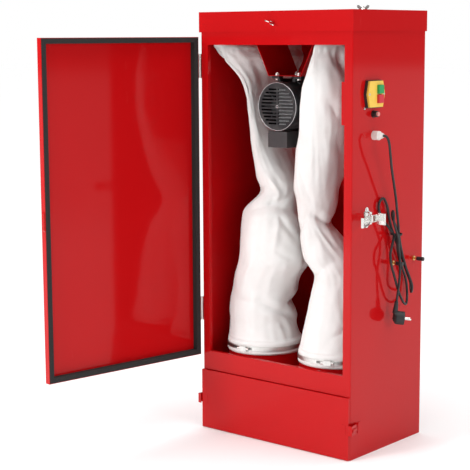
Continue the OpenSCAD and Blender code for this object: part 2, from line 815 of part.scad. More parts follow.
// Draw hook: eye, long plate with two slots, and the nose that catches the keeper
module latch_hook() {
    z = latch_z;
    l = hook_len;
    color(STEEL) translate([lever_x + hook_u, lever_y + hook_v, 0]) rotate([0, 0, hook_rest])
        difference() {
            union() {
                rod_z(0, 0, z - 7.6, z + 7.6, 4.2);
                translate([0, 1, z]) rotate([90, 0, 0]) linear_extrude(2)
                    polygon([[0, -7.6], [22, -7.6], [34, -13.5], [l, -13.5], [l, 13.5], [34, 13.5],
                        [22, 7.6], [0, 7.6]]);
                block([l - 2, -6, z - 13.5], [l, 0, z + 13.5]);
            }
            rod_z(0, 0, z - 11, z + 11, 2 + pin_gap);
            for (s = [-1, 1])
                block([44, -2, z + s * 6 - 2.5], [l - 16, 2, z + s * 6 + 2.5]);
        }
}

// Knuckled strap hinge on the side panel, right-hand
module strap_bracket() {
    color(RED) {
        block([xs, strap_y, strap_z0], [xs + 2, strap_y + 20, strap_z0 + strap_h]);
        for (z = [strap_z0, strap_z0 + strap_h - 7]) {
            block([xs, strap_y - 3, z], [strap_x, strap_y + 3, z + 7]);
            rod_z(strap_x, strap_y, z, z + 7, hinge_r);
        }
        rod_z(strap_x, strap_y, strap_z0, strap_z0 + strap_h, pin_r);
    }
}

module strap_brackets() {
    for (s = [0, 1]) mirror([s, 0, 0]) strap_bracket();
}

// Drawer strap with a lip over the drawer's front, standing a little open
module strap() {
    reach = strap_y - (yf - drawer_t - 0.5) + 3;
    z0 = strap_z0;
    color(RED) translate([strap_x, strap_y, 0]) rotate([0, 0, strap_ajar]) difference() {
        union() {
            rod_z(0, 0, z0 + 7.4, z0 + strap_h - 7.4, hinge_r);
            block([-2, -9, z0 + 7.4], [0, 0, z0 + strap_h - 7.4]);
            block([-2, -reach, z0], [0, -6, z0 + strap_h]);
            block([-12.5, -reach, z0], [0, -reach + 2, z0 + strap_h]);
            // raised rib along the strap
            block([0, -reach + 5, z0 + strap_h / 2 - 4], [2.5, -8, z0 + strap_h / 2 + 4]);
        }
        rod_z(0, 0, z0, z0 + strap_h, pin_r + pin_gap);
    }
}

module strap_right() {
    strap();
}

module strap_left() {
    mirror([1, 0, 0]) strap();
}

module wing_nut() {
    rod_z(0, 0, 0, 6, 5);
    for (s = [0, 180]) rotate([0, 0, s]) translate([0, 1.2, 0]) rotate([90, 0, 0])
        linear_extrude(2.6) polygon([[2, 1], [8, 1], [17, 9], [17, 14], [12, 15], [3, 7]]);
}

module wing_nut_front() {
    color(STEEL) translate([0, stud_y - 1.5, stud_z]) rotate([90, 25, 0]) difference() {
        wing_nut();
        rod_z(0, 0, -1, 20, bolt_r + pin_gap);
    }
}

module wing_nut_top() {
    color(STEEL) translate([hook_bolts[1].x, hook_bolts[1].y, cab_h]) rotate([0, 0, 40])
        difference() {
            wing_nut();
            rod_z(0, 0, -1, 20, bolt_r + pin_gap);
        }
}

// ---- door ----

// Places what is drawn with the door closed where the open door has it
module on_open_door() {
    translate([hinge_x, hinge_y, 0]) rotate([0, 0, -door_open]) translate([-hinge_x, -hinge_y, 0])
        children();
}

module door_panel() {
    t = sheet;
    color(RED) on_open_door() pan([door_x0, door_y0, door_z0], [door_x1, door_y1, door_z1],
        [door_x0 + t, door_y0 + t, door_z0 + t], [door_x1 - t, door_y1 + 1, door_z1 - t]);
}

module door_gasket() {
    t = sheet;
    w = seal_w + sheet;
    face = yf - 0.8;
    color("black") on_open_door() difference() {
        block([door_x0 + t, door_y0 + t, door_z0 + t], [door_x1 - t, face, door_z1 - t]);
        block([door_x0 + w, door_y0, door_z0 + w], [door_x1 - w, face + 1, door_z1 - w]);
    }
}

module door_keeper() {
    x = door_x1;
    y = door_y1 - 8.7;
    z = latch_z;
    color(RED) on_open_door() translate([0, y + 8, z]) rotate([90, 0, 0]) linear_extrude(8)
        polygon([[x, -28], [x + 4, -23], [x + 4, 23], [x, 28]]);
}

// Knuckles of one hinge: the body's are at the ends, the door's in the middle
module body_leaf(z0) {
    color(STEEL) {
        block([hinge_x + hinge_r - 1, hinge_y, z0], [-xs, yf + 30, z0 + hinge_len]);
        for (z = [z0, z0 + hinge_len - 20]) rod_z(hinge_x, hinge_y, z, z + 20, hinge_r);
        rod_z(hinge_x, hinge_y, z0, z0 + hinge_len, pin_r);
    }
}

module hinge_leaves() {
    difference() {
        for (z0 = hinge_zs) body_leaf(z0);
        for (z0 = hinge_zs)
            ring_z(hinge_x, hinge_y, z0 + 20, z0 + hinge_len - 20, hinge_r + 0.5, pin_r);
    }
}

module door_hinges() {
    color(STEEL) on_open_door() for (z0 = hinge_zs) difference() {
        union() {
            rod_z(hinge_x, hinge_y, z0 + 20.2, z0 + hinge_len - 20.2, hinge_r);
            block([hinge_x + hinge_r - 1, door_y1 - 16, z0], [-xs, door_y1 - 3.5, z0 + hinge_len]);
            block([hinge_x + hinge_r - 1, door_y1 - 16, z0 + 20.2],
                [-xs, hinge_y, z0 + hinge_len - 20.2]);
        }
        rod_z(hinge_x, hinge_y, z0, z0 + hinge_len, pin_r + pin_gap);
    }
}

// ---- dust drawer ----

module drawer_front() {
    y1 = yf - 0.5;
    y0 = y1 - drawer_t;
    t = sheet;
    color(RED) {
        pan([-xs, y0, drawer_lift], [xs, y1, drawer_top],
            [-xs + t, y0 + t, drawer_lift + t], [xs - t, y1 + 1, drawer_top - t]);
        // catch plates behind which the straps' lips hook
        for (s = [-1, 1])
            block([s * (xs - 16) - 6, y0 - 0.8, strap_z0], [s * (xs - 16) + 6, y0, strap_z0 + strap_h]);
    }
}

module drawer_tray() {
    t = sheet;
    w = tray_w / 2;
    y0 = yf - 0.5 - drawer_t + sheet;
    y1 = yb - tray_back_gap;
    color(RED) pan([-w, y0, tray_z], [w, y1, tray_z + tray_h],
        [-w + t, y0 + t, tray_z + t], [w - t, y1 - t, tray_z + tray_h + 1]);
}

// ---- cord ----

// Tube swept along points: eight-sided rings square to the route
CORD_SIDES = 8;

function unit(v) = v / norm(v);

// A few points between each two, on a smooth curve through all of them
function smooth(p, steps) = [for (i = [0 : len(p) - 2], k = [0 : steps - 1])
    let (a = p[max(i - 1, 0)], b = p[i], c = p[i + 1], d = p[min(i + 2, len(p) - 1)],
        t = k / steps)
    0.5 * (2 * b + (c - a) * t + (2 * a - 5 * b + 4 * c - d) * t * t
        + (3 * b - a - 3 * c + d) * t * t * t)];

// Side directions along the route, each turned as little as can be from the one before
function sides(p, i, last) = i == len(p) ? [] :
    let (d = unit(p[min(i + 1, len(p) - 1)] - p[max(i - 1, 0)]), u = unit(last - d * (last * d)))
    concat([[u, cross(d, u)]], sides(p, i + 1, u));

module tube(route, first_side) {
    m = CORD_SIDES;
    p = concat(smooth(route, 2), [route[len(route) - 1]]);
    s = sides(p, 0, first_side);
    n = len(p);
    points = [for (i = [0 : n - 1], k = [0 : m - 1])
        p[i] + cord_d / 2 * (s[i][0] * cos(k * 360 / m) + s[i][1] * sin(k * 360 / m))];
    walls = [for (i = [0 : n - 2], k = [0 : m - 1])
        let (a = i * m + k, b = i * m + (k + 1) % m) each [[a, b + m, b], [a, a + m, b + m]]];
    polyhedron(points = points, faces = concat([[for (k = [0 : m - 1]) k]], walls,
        [[for (k = [m - 1 : -1 : 0]) (n - 1) * m + k]]));
}

module cord_lead() {
    color("black") translate([cord_shift, 0, 0]) tube(LEAD, [0, 1, 0]);
}

module cord_tail() {
    color("black") translate([cord_shift, 0, 0]) tube(TAIL, [0, 1, 0]);
}

// The folded, tied cord: a slanted outline with round ends, open where a peg passes
module cord_hank() {
    color("black") translate([hank_x0, 0, 0]) rotate([90, 0, 90])
        linear_extrude(hank_x1 - hank_x0) difference() {
            union() {
                hull() {
                    translate([-34, 712]) circle(r = 20, $fn = 32);
                    translate([8, 605]) circle(r = 19, $fn = 32);
                }
                hull() {
                    translate([8, 605]) circle(r = 19, $fn = 32);
                    translate([22, 540]) circle(r = 34, $fn = 32);
                    translate([66, 440]) circle(r = 26, $fn = 32);
                }
            }
            hull() {
                translate([20, 545]) circle(r = 17, $fn = 32);
                translate([58, 455]) circle(r = 12, $fn = 32);
            }
        }
}

module cord_tie() {
    color("black") translate([0, 2, 618]) rotate([21, 0, 0])
        pan([hank_x0 - 2.5, -23, -5], [hank_x1 + 2.5, 23, 5],
            [hank_x0 - 0.5, -21, -6], [hank_x1 + 0.5, 21, 6]);
}

module at_plug() {
    translate(plug_at) rotate([0, plug_tip, plug_turn]) children();
}

// Angled mains plug; the cord enters from above through a tapered relief
module plug_body() {
    color("black") at_plug() difference() {
        union() {
            rotate([0, 90, 0]) translate([0, 0, -6]) cylinder(r = 19, h = 22, $fn = 64);
            hull() {
                rotate([0, 90, 0]) translate([0, 0, -8]) cylinder(r = 18, h = 4, $fn = 32);
                translate([-15, -10, -8]) cube([8, 20, 22]);
            }
            translate([-11, 0, 12]) cylinder(r1 = 8, r2 = 5, h = 34, $fn = 32);
        }
        for (s = [-1, 1]) translate([10, s * 9.5, 0]) rotate([0, 90, 0]) cylinder(r = 2.4, h = 10);
    }
}

module plug_pins() {
    color(STEEL) at_plug() for (s = [-1, 1]) translate([10, s * 9.5, 0]) rotate([0, 90, 0])
        cylinder(r = 2.4, h = 25);
}

side_left();
side_right();
header();
sill();
back_panel();
roof_panel();
cap();
base_pan();
tube_sheet();
bag_left();
bag_right();
hose_clamps();
hanger_left();
hanger_right();
drawer_rails();
motor_bracket();
motor_bolts();
motor_frame();
end_shields();
stator();
motor_cowl();
terminal_box();
fan_housing();
exhaust_grille();
inlet_spigot();
switch_base();
switch_plate();
switch_screws();
switch_box();
breaker_body();
coupler();
peg_rods();
peg_caps();
latch_base();
hinge_leaves();
strap_brackets();
cord_lead();
cord_hank();
cord_tie();
cord_tail();
plug_body();
plug_pins();
door_panel();
door_gasket();
door_keeper();
door_hinges();
latch_lever();
latch_hook();
drawer_front();
drawer_tray();
strap_left();
strap_right();
button_start();
button_stop();
button_reset();
rotor_shaft();
cooling_fan();
impeller();
wing_nut_front();
wing_nut_top();
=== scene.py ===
"""A two-bag dust collector: red cabinet with its door open, cloth filter bags and a fan motor."""
import math

import bmesh
import bpy
from mathutils import Matrix, Vector, noise


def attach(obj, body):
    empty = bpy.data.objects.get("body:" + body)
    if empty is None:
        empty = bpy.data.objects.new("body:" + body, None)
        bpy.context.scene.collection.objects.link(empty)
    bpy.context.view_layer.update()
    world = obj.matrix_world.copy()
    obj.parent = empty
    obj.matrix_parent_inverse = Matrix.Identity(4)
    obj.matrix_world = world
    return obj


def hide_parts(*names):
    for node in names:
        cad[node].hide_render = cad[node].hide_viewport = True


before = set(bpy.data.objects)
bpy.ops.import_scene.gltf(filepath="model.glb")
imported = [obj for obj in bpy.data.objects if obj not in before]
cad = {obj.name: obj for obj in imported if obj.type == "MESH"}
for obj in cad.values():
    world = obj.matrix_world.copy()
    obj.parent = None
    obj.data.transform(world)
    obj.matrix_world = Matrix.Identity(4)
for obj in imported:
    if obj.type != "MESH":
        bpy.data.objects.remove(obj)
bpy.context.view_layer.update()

# ---------------------------------------------------------------- the studio
# The cabinet stands on a pale floor in a bright, evenly lit studio. It is seen from its front
# right corner at chest height, through a long lens.
camera = bpy.data.objects.new("camera", bpy.data.cameras.new("camera"))
camera.data.sensor_width = 36
camera.data.lens = 102.66
camera.matrix_world = (
    Matrix.Translation((2.3537, -3.1236, 1.1688))
    @ Matrix.Rotation(math.radians(40.29), 4, "Z")
    @ Matrix.Rotation(math.radians(90 - 8.41), 4, "X")
    @ Matrix.Rotation(math.radians(-0.3), 4, "Z")
)
bpy.context.scene.collection.objects.link(camera)
bpy.context.scene.camera = camera
bpy.context.scene.view_settings.view_transform = "Standard"

studio = bpy.data.worlds.new("studio")
bpy.context.scene.world = studio
studio.use_nodes = True
ambient = studio.node_tree.nodes["Background"]
ambient.inputs["Color"].default_value = (1, 1, 1, 1)
ambient.inputs["Strength"].default_value = 0.2

# The backdrop is seen as plain white, while it lights the cabinet only weakly.
backdrop = studio.node_tree.nodes.new("ShaderNodeBackground")
backdrop.inputs["Color"].default_value = (1, 1, 1, 1)
seen = studio.node_tree.nodes.new("ShaderNodeLightPath")
choose = studio.node_tree.nodes.new("ShaderNodeMixShader")
world_output = studio.node_tree.nodes["World Output"]
studio.node_tree.links.new(seen.outputs["Is Camera Ray"], choose.inputs[0])
studio.node_tree.links.new(ambient.outputs[0], choose.inputs[1])
studio.node_tree.links.new(backdrop.outputs[0], choose.inputs[2])
studio.node_tree.links.new(choose.outputs[0], world_output.inputs["Surface"])


def lamp(name, place, target, width, power):
    """A square soft box, aimed at a point."""
    light = bpy.data.lights.new(name, "AREA")
    light.size = width
    light.energy = power
    holder = bpy.data.objects.new(name, light)
    holder.location = place
    holder.rotation_euler = (Vector(target) - Vector(place)).to_track_quat("-Z", "Y").to_euler()
    bpy.context.scene.collection.objects.link(holder)


lamp("key_light", (-1.2, -3.9, 1.8), (0, 0, 0.72), 1.0, 104)
lamp("side_light", (4.4, -0.4, 2.0), (0.2, 0, 0.7), 1.6, 58)

sky = bpy.data.lights.new("ceiling_light", "SUN")
sky.energy = 3.0
sky.angle = math.radians(70)
bpy.context.scene.collection.objects.link(bpy.data.objects.new("ceiling_light", sky))

floor_mesh = bpy.data.meshes.new("floor")
floor_mesh.from_pydata([(-40, -40, 0), (40, -40, 0), (40, 40, 0), (-40, 40, 0)], [], [(0, 1, 2, 3)])
floor = bpy.data.objects.new("floor", floor_mesh)
bpy.context.scene.collection.objects.link(floor)
floor_paint = bpy.data.materials.new("floor_paint")
floor_paint.use_nodes = True
floor_shader = floor_paint.node_tree.nodes["Principled BSDF"]
floor_shader.inputs["Base Color"].default_value = (0.93, 0.93, 0.93, 1)
floor_shader.inputs["Roughness"].default_value = 0.7
floor_mesh.materials.append(floor_paint)


# ---------------------------------------------------------------- mains cord
# About two metres of black round flex leave the gland, hang in three long folds gathered at the
# waist by a twist tie, and end in an angled plug. The route repeats the cord's real lay.
class Wire:
    """One shader value. Arithmetic on it adds a maths node, and node() adds any other."""

    def __init__(self, tree, socket):
        self.tree = tree
        self.socket = socket

    def node(self, kind, output, inputs, **settings):
        made = self.tree.nodes.new(kind)
        for name, value in settings.items():
            setattr(made, name, value)
        for name, value in inputs.items():
            if isinstance(value, Wire):
                self.tree.links.new(value.socket, made.inputs[name])
            else:
                made.inputs[name].default_value = value
        return Wire(self.tree, made.outputs[output])

    def sum(self, operation, a, b):
        return self.node("ShaderNodeMath", 0, {0: a, 1: b}, operation=operation)

    def __add__(self, other):
        return self.sum("ADD", self, other)

    def __sub__(self, other):
        return self.sum("SUBTRACT", self, other)

    def __rsub__(self, other):
        return self.sum("SUBTRACT", other, self)

    def __mul__(self, other):
        return self.sum("MULTIPLY", self, other)

    __radd__ = __add__
    __rmul__ = __mul__

    def between(self, low, high):
        """0 below low, 1 above high, smooth in between."""
        inputs = {"Value": self, "From Min": low, "From Max": high}
        return self.node("ShaderNodeMapRange", 0, inputs, interpolation_type="SMOOTHSTEP")

    def mix(self, first, second):
        """From the first colour to the second as this value goes from 0 to 1."""
        colours = {"Factor": self, "A": first, "B": second}
        made = self.tree.nodes.new("ShaderNodeMix")
        made.data_type = "RGBA"
        for socket in made.inputs:
            if socket.name in colours and socket.enabled:
                value = colours[socket.name]
                if isinstance(value, Wire):
                    self.tree.links.new(value.socket, socket)
                else:
                    socket.default_value = value
        return Wire(self.tree, next(s for s in made.outputs if s.enabled))

    def grain(self, size, detail=2.0, rough=0.5, stretch=None):
        """Noise with features of about that size in metres; stretch lengthens it along an axis."""
        place = self
        if stretch:
            place = self.node("ShaderNodeVectorMath", 0, {0: self, 1: stretch}, operation="MULTIPLY")
        inputs = {"Vector": place, "Scale": 1 / size, "Detail": detail, "Roughness": rough}
        return self.node("ShaderNodeTexNoise", 0, inputs)


class Finish:
    """A material with its main shader and the position on the piece that its detail follows."""

    def __init__(self, name, **constants):
        self.material = bpy.data.materials.new(name)
        self.material.use_nodes = True
        self.tree = self.material.node_tree
        self.shader = self.tree.nodes["Principled BSDF"]
        for socket, value in constants.items():
            self.shader.inputs[socket.replace("_", " ")].default_value = value
        place = self.tree.nodes.new("ShaderNodeTexCoord")
        self.place = Wire(self.tree, place.outputs["Object"])

    def feed(self, socket, wire):
        self.tree.links.new(wire.socket, self.shader.inputs[socket])

    def relief(self, height, depth):
        """Bumps of that height in metres where the value goes from 0 to 1."""
        self.feed("Normal", height.node("ShaderNodeBump", 0, {"Height": height, "Distance": depth}))


def colour(red, green, blue):
    return (red, green, blue, 1)


def dress(finish, slot, *names):
    """Gives CAD nodes that finish."""
    for name in names:
        cad[name].data.materials.clear()
        cad[name].data.materials.append(finish.material)


def add_piece(name, data, finish, body):
    """A new piece that moves with a body."""
    data.materials.append(finish.material)
    piece = bpy.data.objects.new(name, data)
    bpy.context.scene.collection.objects.link(piece)
    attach(piece, body)
    return piece


flex_sheath = Finish("flex_sheath", Specular_IOR_Level=0.45)
sheath_dust = flex_sheath.place.grain(0.03, 4).between(0.45, 0.75)
flex_sheath.feed("Base Color", sheath_dust.mix(colour(0.012, 0.012, 0.013), colour(0.032, 0.031, 0.030)))
flex_sheath.feed("Roughness", 0.38 + 0.22 * flex_sheath.place.grain(0.008, 3))
flex_sheath.relief(flex_sheath.place.grain(0.0012, 2), 0.00012)

cord_size = 0.007
cord_route = [
    (296, -76, 900), (312, -76, 898), (319, -73, 881), (317, -63, 848), (311, -47, 809),
    (306, -27, 762), (301, -9, 721), (298, 2, 684), (297, 11, 645), (296, 17, 615),
    (295, 31, 572), (300, 46, 523), (308, 57, 488), (312, 63, 466), (308, 68, 451),
    (298, 80, 444), (289, 91, 451), (285, 95, 468), (281, 86, 493), (279, 72, 521),
    (279, 54, 552), (279, 33, 585), (280, 14, 615), (278, 3, 640), (277, -7, 668),
    (277, -17, 700), (277, -34, 722), (277, -53, 716), (277, -58, 696), (277, -45, 675),
    (278, -29, 655), (283, -10, 634), (288, 2, 615), (291, -6, 600), (294, -16, 586),
    (297, -27, 566), (299, -25, 536), (298, -7, 500), (298, 14, 456), (299, 35, 424),
    (294, 59, 411), (286, 77, 423), (281, 84, 450), (279, 79, 482), (279, 59, 517),
    (281, 38, 552), (285, 25, 588), (288, 18, 615), (285, 16, 640), (279, 9, 662),
    (282, 2, 679), (292, -9, 685), (302, -20, 678), (305, -24, 660), (305, -15, 638),
    (304, 0, 612), (302, 7, 585), (303, 9, 560), (306, 8, 538), (308, 5, 514),
    (308, 3, 490), (306, 1, 462), (302, 0, 432), (300, -3, 412),
]


def eased(a, b, c, d, t):
    """The value a share t of the way from b to c, on a smooth line through all four."""
    return 0.5 * (2 * b + (c - a) * t + (2 * a - 5 * b + 4 * c - d) * t * t
                  + (3 * b - a - 3 * c + d) * t ** 3)


def smooth_run(points, steps):
    """Points on a smooth line through the given ones."""
    run = []
    for i in range(len(points) - 1):
        a, b, c, d = (points[min(max(k, 0), len(points) - 1)] for k in (i - 1, i, i + 1, i + 2))
        run += [eased(a, b, c, d, k / steps) for k in range(steps)]
    return run + [points[-1]]


def line_curve(name, runs, radius, ring=4):
    """A round curve along each run of points."""
    curve = bpy.data.curves.new(name, "CURVE")
    curve.dimensions = "3D"
    curve.bevel_depth = radius
    curve.bevel_resolution = ring
    curve.use_fill_caps = True
    for run in runs:
        spline = curve.splines.new("POLY")
        spline.points.add(len(run) - 1)
        for point, place in zip(spline.points, run):
            point.co = (*place, 1)
    return curve


cord_run = smooth_run([Vector(p) / 1000 for p in cord_route], 8)
cord_length = sum((b - a).length for a, b in zip(cord_run, cord_run[1:]))
cord = add_piece("mains_cord", line_curve("mains_cord", [cord_run], cord_size / 2, 6), flex_sheath,
                 "cabinet")
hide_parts("cord_lead", "cord_hank", "cord_tail")

# Two turns of thin covered wire hold the folds together.
tie_middle = (0.2915, 0.0095, 0.6165)
tie_wide = 0.0165
tie_deep = 0.0145
tie_wave = 0.002
tie_rise = Vector((0, 0, 0.0022))
tie_radius = 0.0013
tie_turn = []
for k in range(49):
    t = math.tau * k / 48
    tie_turn.append(Vector((tie_middle[0] + tie_wide * math.cos(t),
                            tie_middle[1] + tie_deep * math.sin(t),
                            tie_middle[2] + tie_wave * math.sin(2 * t))))
tie_turns = [tie_turn, [p + tie_rise for p in tie_turn]]
tie = add_piece("twist_tie", line_curve("twist_tie", tie_turns, tie_radius), flex_sheath,
                "cabinet")
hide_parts("cord_tie")

# The plug is one rubber moulding with nickel-plated pins.
plug_rubber = Finish("plug_rubber", Specular_IOR_Level=0.4)
plug_dust = plug_rubber.place.grain(0.012, 4)
plug_rubber.feed("Base Color", plug_dust.mix(colour(0.012, 0.012, 0.013), colour(0.030, 0.030, 0.031)))
plug_rubber.feed("Roughness", 0.42 + 0.2 * plug_rubber.place.grain(0.004, 3))
plug_rubber.relief(plug_rubber.place.grain(0.0009, 2), 0.00015)
dress(plug_rubber, "plug_rubber", "plug_body")

# ---------------------------------------------------------------- red sheet metal
# Folded mild steel with a semi-gloss red powder coat. The coat has a fine orange peel, small
# differences in depth of colour, and a few rubbed places.
red_coat = Finish("red_coat", Specular_IOR_Level=0.02, Coat_Roughness=0.07, Coat_IOR=1.36)
red_peel = red_coat.place.grain(0.0022, 2)
red_cloud = red_coat.place.grain(0.35, 3)
red_rub = red_coat.place.grain(0.02, 5, 0.6, (1, 1, 0.25)).between(0.66, 0.8)
red_body = red_cloud.mix(colour(0.44, 0.003, 0.004), colour(0.50, 0.004, 0.006))
red_coat.feed("Base Color", (0.2 * red_rub).mix(red_body, colour(0.55, 0.08, 0.07)))
red_coat.feed("Roughness", 0.30 + 0.10 * red_cloud + 0.18 * red_rub)
red_coat.feed("Coat Weight", 0.6 - 0.3 * red_rub)
red_coat.relief(red_peel, 0.00006)
dress(red_coat, "red_paint", "side_left", "side_right", "header", "sill", "back_panel", "roof_panel",
      "cap", "base_pan", "tube_sheet", "motor_bracket", "fan_housing", "exhaust_grille",
      "inlet_spigot", "switch_box", "strap_brackets", "door_panel", "door_keeper", "drawer_front",
      "drawer_tray", "strap_left", "strap_right")

# ---------------------------------------------------------------- bright fittings
# Zinc-plated hinges, hangers, bolts and band clamps, and the nickel-plated latch, wing nuts and
# plug pins. Zinc shows a faint spangle and drawn lines; nickel is smoother with smudges.
zinc = Finish("zinc", Metallic=1.0)
zinc_spangle = zinc.place.grain(0.006, 2)
zinc.feed("Base Color", zinc_spangle.mix(colour(0.56, 0.56, 0.55), colour(0.80, 0.79, 0.76)))
zinc.feed("Roughness", 0.24 + 0.22 * zinc.place.grain(0.003, 4))
zinc.relief(zinc.place.grain(0.0012, 3, 0.6, (1, 1, 0.1)), 0.00006)
dress(zinc, "bright_steel", "hose_clamps", "hanger_left", "hanger_right", "drawer_rails",
      "motor_bolts", "hinge_leaves", "door_hinges", "switch_screws")

# The clamp bands are slotted beside their screws, and dark quads laid over the band paint the shade seen in
# the slots.
# Each run of slots has a bag's middle x, the bearing of its first slot in degrees, and a count.
slot_shadow = Finish("slot_shadow", Metallic=1.0, Roughness=0.6)
slot_shadow_noise = slot_shadow.place.grain(0.002, 2)
# Painted shade: near black, for the dark inside of the slots.
slot_shadow.feed("Base Color", slot_shadow_noise.mix(colour(0.02, 0.02, 0.02), colour(0.07, 0.07, 0.07)))
collar_x = 0.133
collar_y = -0.05
slot_radius = 0.11565
slot_pitch = 1.75
slot_half = 0.42
slot_low = 0.2572
slot_high = 0.2648
slot_shadow_quads = bpy.data.meshes.new("clamp_slot_shadows")
corners = []
slot_runs = [(-collar_x, -129, 22), (-collar_x, -78, 4), (collar_x, -84, 5), (collar_x, -61, 10)]
for middle, start, count in slot_runs:
    for k in range(count):
        edges = [math.radians(start + slot_pitch * k + side) for side in (-slot_half, slot_half)]
        a, b = ((middle + slot_radius * math.cos(t), collar_y + slot_radius * math.sin(t)) for t in edges)
        corners += [(*a, slot_low), (*b, slot_low), (*b, slot_high), (*a, slot_high)]
slot_shadow_quads.from_pydata(corners, [], [tuple(range(k, k + 4)) for k in range(0, len(corners), 4)])
add_piece("clamp_slot_shadows", slot_shadow_quads, slot_shadow, "cabinet")

nickel = Finish("nickel", Metallic=1.0)
nickel_smudge = nickel.place.grain(0.02, 4)
nickel.feed("Base Color", nickel_smudge.mix(colour(0.70, 0.69, 0.66), colour(0.86, 0.85, 0.83)))
nickel.feed("Roughness", 0.10 + 0.16 * nickel_smudge)
nickel.relief(nickel.place.grain(0.004, 3), 0.00008)
dress(nickel, "chrome_plate", "latch_base", "latch_lever", "latch_hook", "wing_nut_front",
      "wing_nut_top", "plug_pins")

turned_steel = Finish("turned_steel", Metallic=1.0)
turning_marks = turned_steel.place.grain(0.0008, 2, 0.5, (0.02, 1, 0.02))
turned_steel.feed("Base Color", turning_marks.mix(colour(0.42, 0.42, 0.43), colour(0.60, 0.60, 0.60)))
turned_steel.feed("Roughness", 0.26 + 0.14 * turning_marks)
dress(turned_steel, "shaft_steel", "rotor_shaft")

brass = Finish("brass", Metallic=1.0)
brass_tarnish = brass.place.grain(0.004, 4)
brass.feed("Base Color", brass_tarnish.mix(colour(0.60, 0.38, 0.13), colour(0.83, 0.61, 0.26)))
brass.feed("Roughness", 0.22 + 0.24 * brass_tarnish)
dress(brass, "brass_rod", "peg_rods")

cast_light = Finish("cast_light", Metallic=1.0)
cast_skin = cast_light.place.grain(0.0025, 4, 0.7)
cast_light.feed("Base Color", cast_skin.mix(colour(0.44, 0.45, 0.46), colour(0.66, 0.66, 0.67)))
cast_light.feed("Roughness", 0.42 + 0.2 * cast_skin)
cast_light.relief(cast_skin, 0.0002)
dress(cast_light, "aluminium_cast", "impeller")

# ---------------------------------------------------------------- motor
# A finned cast frame in dark enamel, hung by its feet, with a pressed and slotted fan cowl in
# front and a moulded terminal box below. The stack of laminations inside is varnished.
enamel = Finish("enamel", Specular_IOR_Level=0.22)
enamel_dust = enamel.place.grain(0.025, 5).between(0.4, 0.75)
enamel.feed("Base Color", enamel_dust.mix(colour(0.012, 0.012, 0.014), colour(0.045, 0.043, 0.043)))
enamel.feed("Roughness", 0.36 + 0.24 * enamel.place.grain(0.01, 4))
enamel.relief(enamel.place.grain(0.0018, 3, 0.7), 0.00025)
dress(enamel, "motor_paint", "motor_frame", "end_shields", "motor_cowl")

# The pressed edge of the cowl is worn bright; the tilted louvre in each slot on the right gets the same
# bright metal as a painted highlight.
worn_edge_and_louvre_highlight = Finish("worn_edge_and_louvre_highlight", Metallic=0.85)
wear_and_highlight_noise = worn_edge_and_louvre_highlight.place.grain(0.004, 3)
worn_edge_and_louvre_highlight.feed("Base Color", wear_and_highlight_noise.mix(colour(0.30, 0.30, 0.31), colour(0.74, 0.74, 0.75)))
worn_edge_and_louvre_highlight.feed("Roughness", 0.26 + 0.2 * wear_and_highlight_noise)
cowl_front = -0.1612
motor_height = 0.974
edge_radius = 0.0008
edge_rings = []
for r in (0.0672, 0.0035):
    turn = [math.tau * k / 72 for k in range(73)]
    edge_rings.append([Vector((r * math.cos(t), cowl_front, motor_height + r * math.sin(t))) for t in turn])
add_piece("cowl_edge", line_curve("cowl_edge", edge_rings, edge_radius), worn_edge_and_louvre_highlight, "cabinet")

slotted_radius = 0.057
louvre_pitch = 0.0096
louvre_gap = 0.001
louvre_start = 0.005
louvre_lip = (-0.1605, -0.0022)
louvre_root = (-0.1570, 0.0020)
louvres = bpy.data.meshes.new("cowl_louvres")
blades = []
for k in range(-5, 6):
    far = math.sqrt(slotted_radius ** 2 - (k * louvre_pitch) ** 2) - louvre_gap
    middle = motor_height + k * louvre_pitch
    for (y, rise), ends in ((louvre_lip, (louvre_start, far)), (louvre_root, (far, louvre_start))):
        blades += [(x, y, middle + rise) for x in ends]
louvres.from_pydata(blades, [], [tuple(range(k, k + 4)) for k in range(0, len(blades), 4)])
# The louvres' bright metal is a painted highlight for slats catching the light.
add_piece("cowl_louvres", louvres, worn_edge_and_louvre_highlight, "cabinet")

varnish = Finish("varnish", Metallic=0.6, Roughness=0.45)
lamination_edges = varnish.place.grain(0.0007, 1, 0.5, (0.01, 1, 0.01))
varnish.feed("Base Color", lamination_edges.mix(colour(0.16, 0.11, 0.07), colour(0.36, 0.28, 0.20)))
varnish.relief(lamination_edges, 0.0002)
dress(varnish, "lamination", "stator")

# ---------------------------------------------------------------- plastics and seal
# Moulded parts: black housings with a spark-eroded texture, a yellow switch cover, green, red and
# rose push buttons, the white cable gland, and the black foam strip glued inside the door.


def moulding(name, dark, light, gloss, texture, slot, *nodes):
    """A moulded plastic between two near tones, with a surface texture of that depth."""
    made = Finish(name, Specular_IOR_Level=0.5)
    made.feed("Base Color", made.place.grain(0.015, 4).mix(dark, light))
    made.feed("Roughness", gloss + 0.12 * made.place.grain(0.006, 3))
    made.relief(made.place.grain(0.0007, 2), texture)
    dress(made, slot, *nodes)


moulding("black_moulding", colour(0.012, 0.012, 0.013), colour(0.028, 0.028, 0.030), 0.38, 0.00012,
         "black_plastic", "terminal_box", "switch_base", "breaker_body", "peg_caps", "cooling_fan")
moulding("yellow_cover", colour(0.80, 0.50, 0.055), colour(0.90, 0.60, 0.10), 0.24, 0.00003,
         "yellow_plastic", "switch_plate")
moulding("green_cap", colour(0.010, 0.26, 0.075), colour(0.014, 0.34, 0.10), 0.26, 0.00003,
         "green_plastic", "button_start")
moulding("red_cap", colour(0.52, 0.012, 0.030), colour(0.62, 0.018, 0.040), 0.26, 0.00003,
         "red_plastic", "button_stop")
moulding("rose_cap", colour(0.60, 0.20, 0.18), colour(0.72, 0.30, 0.27), 0.2, 0.00003,
         "pink_plastic", "button_reset")
moulding("white_gland", colour(0.76, 0.74, 0.70), colour(0.84, 0.82, 0.79), 0.36, 0.00005,
         "white_plastic", "coupler")

